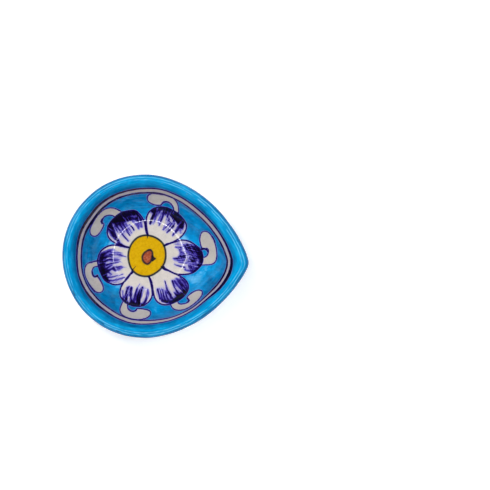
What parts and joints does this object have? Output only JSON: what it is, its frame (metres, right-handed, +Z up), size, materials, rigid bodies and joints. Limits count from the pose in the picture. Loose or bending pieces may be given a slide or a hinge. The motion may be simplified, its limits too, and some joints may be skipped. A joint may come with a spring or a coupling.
{
  "type": "diya oil lamp",
  "caption": "Shallow glazed clay oil lamp with a round painted bowl drawn out to a pointed wick spout, a thick rolled lip and a turned foot ring.",
  "frame": {"origin": "middle of the footprint's bounding box, on the surface that the lamp stands on", "axes": "+X along the lamp towards the tip of the wick spout, +Z up out of the bowl's mouth, +Y across; the lamp mirrors across Y"},
  "size_m": [0.09, 0.079, 0.025],
  "materials": {
    "painted_glaze": "high-gloss clear glaze over hand-painted turquoise, cobalt, off-white and yellow",
    "turquoise_glaze": "high-gloss turquoise glaze with brushed streaks",
    "bare_body": "unglazed sandy off-white body"
  },
  "bodies": {
    "root": {"bowl_shell": "painted_glaze", "rim_lip": "turquoise_glaze", "foot_ring": "bare_body"}
  },
  "joints": []
}
